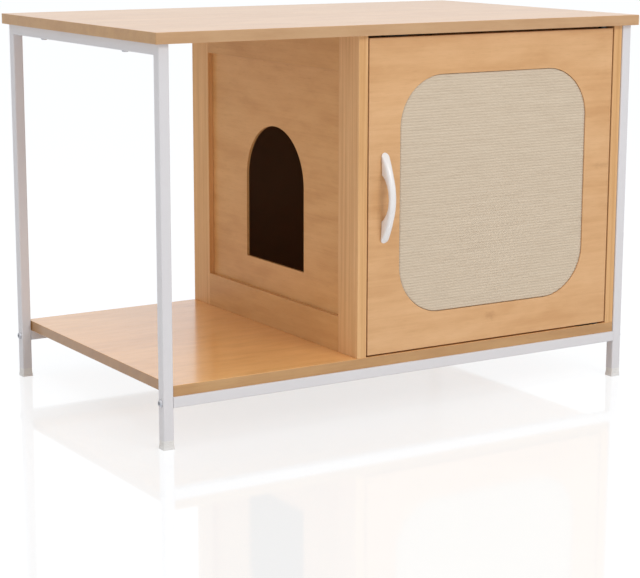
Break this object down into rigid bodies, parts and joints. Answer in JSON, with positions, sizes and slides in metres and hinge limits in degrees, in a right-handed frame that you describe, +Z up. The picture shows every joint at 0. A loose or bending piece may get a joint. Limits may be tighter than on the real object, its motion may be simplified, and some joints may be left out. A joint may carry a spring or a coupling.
{
  "type": "cat litter box cabinet",
  "caption": "Side-table cat litter cabinet: square-tube frame, open bay on the left, arched entry in the inner wall, inset door with a rounded sisal scratching mat and a bow handle.",
  "frame": {"origin": "on the floor, under the middle of the whole part's box", "axes": "+X to the right along the long side, +Y to the back, +Z up; the door faces -Y"},
  "size_m": [0.8, 0.5134, 0.55],
  "materials": {
    "board": "satin, light oak coated board with matching edge band",
    "frame_metal": "white powder coat",
    "foot_plastic": "white moulded plastic",
    "sisal": "woven sisal with fine ribs",
    "handle_metal": "gloss white lacquer",
    "fastener_steel": "zinc plated steel",
    "cam_metal": "die-cast zinc alloy",
    "plug_plastic": "moulded plastic",
    "dowel_wood": "plain beech",
    "magnet": "dark magnet and pole plates"
  },
  "bodies": {
    "cabinet": {"top_panel": "board", "bottom_panel": "board", "right_side_panel": "board", "divider_front_stile": "board", "divider_back_stile": "board", "divider_bottom_rail": "board", "divider_top_rail": "board", "entry_panel": "board", "back_panel": "board", "front_lower_rail": "frame_metal", "back_lower_rail": "frame_metal", "left_top_rail": "frame_metal", "right_top_rail": "frame_metal", "front_left_leg": "frame_metal", "front_right_leg": "frame_metal", "back_left_leg": "frame_metal", "back_right_leg": "frame_metal", "frame_bolts": "frame_metal", "front_left_foot": "foot_plastic", "front_right_foot": "foot_plastic", "back_left_foot": "foot_plastic", "back_right_foot": "foot_plastic", "top_panel_screws": "fastener_steel", "bottom_panel_screws": "fastener_steel", "confirmat_screws": "fastener_steel", "cam_bolts": "fastener_steel", "pivot_plates": "fastener_steel", "pivot_pins": "fastener_steel", "pivot_plate_screws": "fastener_steel", "catch_screws": "fastener_steel", "cam_locks": "cam_metal", "rail_plugs": "plug_plastic", "catch_body": "plug_plastic", "dowels": "dowel_wood", "catch_magnet": "magnet"},
    "door": {"door_panel": "board", "sisal_mat": "sisal", "door_handle": "handle_metal", "handle_screws": "fastener_steel", "pivot_bushes": "plug_plastic", "catch_plate": "fastener_steel", "catch_plate_screw": "fastener_steel"}
  },
  "joints": [
    {"name": "door_hinge", "type": "hinge", "parent": "cabinet", "child": "door", "pos_m": [0.3455, -0.22525, 0.31], "axis": [0, 0, 1], "range_deg": [0, 110]}
  ]
}
